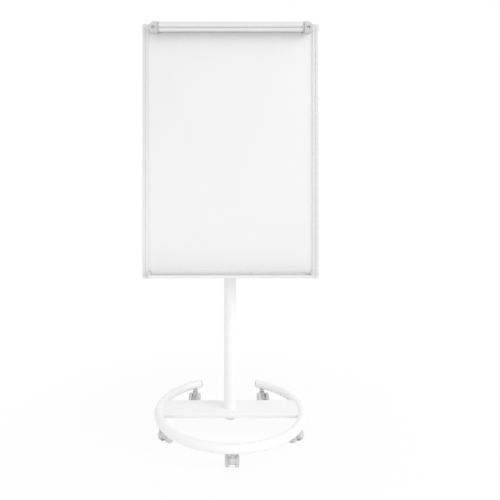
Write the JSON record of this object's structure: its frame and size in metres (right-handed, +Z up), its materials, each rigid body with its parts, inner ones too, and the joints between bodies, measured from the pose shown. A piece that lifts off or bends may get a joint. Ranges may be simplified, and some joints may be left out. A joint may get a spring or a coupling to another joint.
{
  "type": "mobile flipchart easel",
  "caption": "Mobile flipchart easel: framed whiteboard with pad clamp and pen tray on a telescopic column over an open ring base with twin-wheel castors.",
  "frame": {"origin": "on the floor, on the column's axis", "axes": "+X to the right of someone who writes on the board, -Y out of the board's face, +Z up"},
  "size_m": [0.7, 0.5875, 1.642],
  "materials": {
    "white_paint": "satin",
    "grey_paint": "satin",
    "writing_enamel": "gloss",
    "anodised_aluminium": "satin",
    "back_sheet_aluminium": "satin",
    "zinc_steel": "satin",
    "light_grey_plastic": "fine grain",
    "mid_grey_plastic": "fine grain",
    "dark_grey_plastic": "fine grain",
    "castor_grey_plastic": "satin",
    "grip_rubber": "matte",
    "core_board": "matte"
  },
  "bodies": {
    "base": {"base_ring": "white_paint", "ring_end_plugs": "mid_grey_plastic", "crossbar": "white_paint", "castor_sockets": "mid_grey_plastic", "castor_stems": "zinc_steel", "outer_column": "white_paint", "foot_plug": "dark_grey_plastic", "clamp_collar": "dark_grey_plastic"},
    "foot_knob_body": {"foot_knob": "light_grey_plastic"},
    "height_knob_body": {"height_knob": "dark_grey_plastic"},
    "mast": {"inner_column": "white_paint", "guide_bush": "dark_grey_plastic", "tilt_head": "dark_grey_plastic"},
    "board": {"tilt_bolt": "zinc_steel", "board_bracket": "grey_paint", "bracket_bolts": "zinc_steel", "cross_rails": "zinc_steel", "writing_sheet": "writing_enamel", "panel_core": "core_board", "back_sheet": "back_sheet_aluminium", "frame_rail_left": "anodised_aluminium", "frame_rail_right": "anodised_aluminium", "frame_rail_top": "anodised_aluminium", "frame_rail_bottom": "anodised_aluminium", "frame_corners": "light_grey_plastic", "pen_tray": "anodised_aluminium", "pen_tray_caps": "mid_grey_plastic", "tray_screws": "zinc_steel", "hinge_pins": "zinc_steel", "jaw_springs": "zinc_steel", "clamp_end_left": "mid_grey_plastic", "clamp_end_right": "mid_grey_plastic", "clamp_screws": "zinc_steel", "peg_rail": "anodised_aluminium"},
    "tilt_knob_body": {"tilt_knob": "dark_grey_plastic"},
    "jaw": {"clamp_jaw": "anodised_aluminium", "jaw_arms": "mid_grey_plastic", "grip_strip": "grip_rubber"},
    "left_peg": {"pad_peg_left": "dark_grey_plastic"},
    "right_peg": {"pad_peg_right": "dark_grey_plastic"},
    "front_castor": {"front_castor_housing": "castor_grey_plastic", "front_castor_axle": "zinc_steel"},
    "front_castor_left_wheel": {"front_castor_wheel_left": "castor_grey_plastic"},
    "front_castor_right_wheel": {"front_castor_wheel_right": "castor_grey_plastic"},
    "front_right_castor": {"front_right_castor_housing": "castor_grey_plastic", "front_right_castor_axle": "zinc_steel"},
    "front_right_castor_left_wheel": {"front_right_castor_wheel_left": "castor_grey_plastic"},
    "front_right_castor_right_wheel": {"front_right_castor_wheel_right": "castor_grey_plastic"},
    "back_right_castor": {"back_right_castor_housing": "castor_grey_plastic", "back_right_castor_axle": "zinc_steel"},
    "back_right_castor_left_wheel": {"back_right_castor_wheel_left": "castor_grey_plastic"},
    "back_right_castor_right_wheel": {"back_right_castor_wheel_right": "castor_grey_plastic"},
    "back_left_castor": {"back_left_castor_housing": "castor_grey_plastic", "back_left_castor_axle": "zinc_steel"},
    "back_left_castor_left_wheel": {"back_left_castor_wheel_left": "castor_grey_plastic"},
    "back_left_castor_right_wheel": {"back_left_castor_wheel_right": "castor_grey_plastic"},
    "front_left_castor": {"front_left_castor_housing": "castor_grey_plastic", "front_left_castor_axle": "zinc_steel"},
    "front_left_castor_left_wheel": {"front_left_castor_wheel_left": "castor_grey_plastic"},
    "front_left_castor_right_wheel": {"front_left_castor_wheel_right": "castor_grey_plastic"}
  },
  "joints": [
    {"name": "foot_knob_turn", "type": "hinge", "parent": "base", "child": "foot_knob_body", "pos_m": [0, 0, 0.047], "axis": [0, 0, 1], "continuous": true},
    {"name": "height_knob_turn", "type": "hinge", "parent": "base", "child": "height_knob_body", "pos_m": [0, 0.058, 1.0427], "axis": [0, 1, 0], "continuous": true},
    {"name": "height_slide", "type": "slide", "parent": "base", "child": "mast", "axis": [0, 0, 1], "range_m": [0, 0.3]},
    {"name": "board_tilt", "type": "hinge", "parent": "mast", "child": "board", "pos_m": [0, 0, 1.137], "axis": [-1, 0, 0], "range_deg": [0, 30]},
    {"name": "tilt_knob_turn", "type": "hinge", "parent": "board", "child": "tilt_knob_body", "pos_m": [0.033, 0, 1.137], "axis": [1, 0, 0], "continuous": true},
    {"name": "clamp_jaw_open", "type": "hinge", "parent": "board", "child": "jaw", "pos_m": [0, -0.081, 1.6325], "axis": [-1, 0, 0], "range_deg": [0, 100], "stiffness_Nm_per_rad": 0.6, "springref_deg": -45.84},
    {"name": "left_peg_slide", "type": "slide", "parent": "board", "child": "left_peg", "axis": [1, 0, 0], "range_m": [-0.035, 0.08]},
    {"name": "right_peg_slide", "type": "slide", "parent": "board", "child": "right_peg", "axis": [1, 0, 0], "range_m": [-0.08, 0.035]},
    {"name": "front_castor_swivel", "type": "hinge", "parent": "base", "child": "front_castor", "pos_m": [0, -0.293, 0.05], "axis": [0, 0, 1], "continuous": true},
    {"name": "front_castor_left_wheel_roll", "type": "hinge", "parent": "front_castor", "child": "front_castor_left_wheel", "pos_m": [0, -0.265, 0.025], "axis": [-1, 0, 0], "continuous": true},
    {"name": "front_castor_right_wheel_roll", "type": "hinge", "parent": "front_castor", "child": "front_castor_right_wheel", "pos_m": [0, -0.265, 0.025], "axis": [-1, 0, 0], "continuous": true},
    {"name": "front_right_castor_swivel", "type": "hinge", "parent": "base", "child": "front_right_castor", "pos_m": [0.26555, -0.12383, 0.05], "axis": [0, 0, 1], "continuous": true},
    {"name": "front_right_castor_left_wheel_roll", "type": "hinge", "parent": "front_right_castor", "child": "front_right_castor_left_wheel", "pos_m": [0.24989, -0.10061, 0.025], "axis": [-0.829, -0.5592, 0], "continuous": true},
    {"name": "front_right_castor_right_wheel_roll", "type": "hinge", "parent": "front_right_castor", "child": "front_right_castor_right_wheel", "pos_m": [0.24989, -0.10061, 0.025], "axis": [-0.829, -0.5592, 0], "continuous": true},
    {"name": "back_right_castor_swivel", "type": "hinge", "parent": "base", "child": "back_right_castor", "pos_m": [0.15527, 0.24848, 0.05], "axis": [0, 0, 1], "continuous": true},
    {"name": "back_right_castor_left_wheel_roll", "type": "hinge", "parent": "back_right_castor", "child": "back_right_castor_left_wheel", "pos_m": [0.15771, 0.22059, 0.025], "axis": [0.9962, 0.0872, 0], "continuous": true},
    {"name": "back_right_castor_right_wheel_roll", "type": "hinge", "parent": "back_right_castor", "child": "back_right_castor_right_wheel", "pos_m": [0.15771, 0.22059, 0.025], "axis": [0.9962, 0.0872, 0], "continuous": true},
    {"name": "back_left_castor_swivel", "type": "hinge", "parent": "base", "child": "back_left_castor", "pos_m": [-0.15527, 0.24848, 0.05], "axis": [0, 0, 1], "continuous": true},
    {"name": "back_left_castor_left_wheel_roll", "type": "hinge", "parent": "back_left_castor", "child": "back_left_castor_left_wheel", "pos_m": [-0.15771, 0.22059, 0.025], "axis": [0.9962, -0.0872, 0], "continuous": true},
    {"name": "back_left_castor_right_wheel_roll", "type": "hinge", "parent": "back_left_castor", "child": "back_left_castor_right_wheel", "pos_m": [-0.15771, 0.22059, 0.025], "axis": [0.9962, -0.0872, 0], "continuous": true},
    {"name": "front_left_castor_swivel", "type": "hinge", "parent": "base", "child": "front_left_castor", "pos_m": [-0.26555, -0.12383, 0.05], "axis": [0, 0, 1], "continuous": true},
    {"name": "front_left_castor_left_wheel_roll", "type": "hinge", "parent": "front_left_castor", "child": "front_left_castor_left_wheel", "pos_m": [-0.24989, -0.10061, 0.025], "axis": [-0.829, 0.5592, 0], "continuous": true},
    {"name": "front_left_castor_right_wheel_roll", "type": "hinge", "parent": "front_left_castor", "child": "front_left_castor_right_wheel", "pos_m": [-0.24989, -0.10061, 0.025], "axis": [-0.829, 0.5592, 0], "continuous": true}
  ]
}
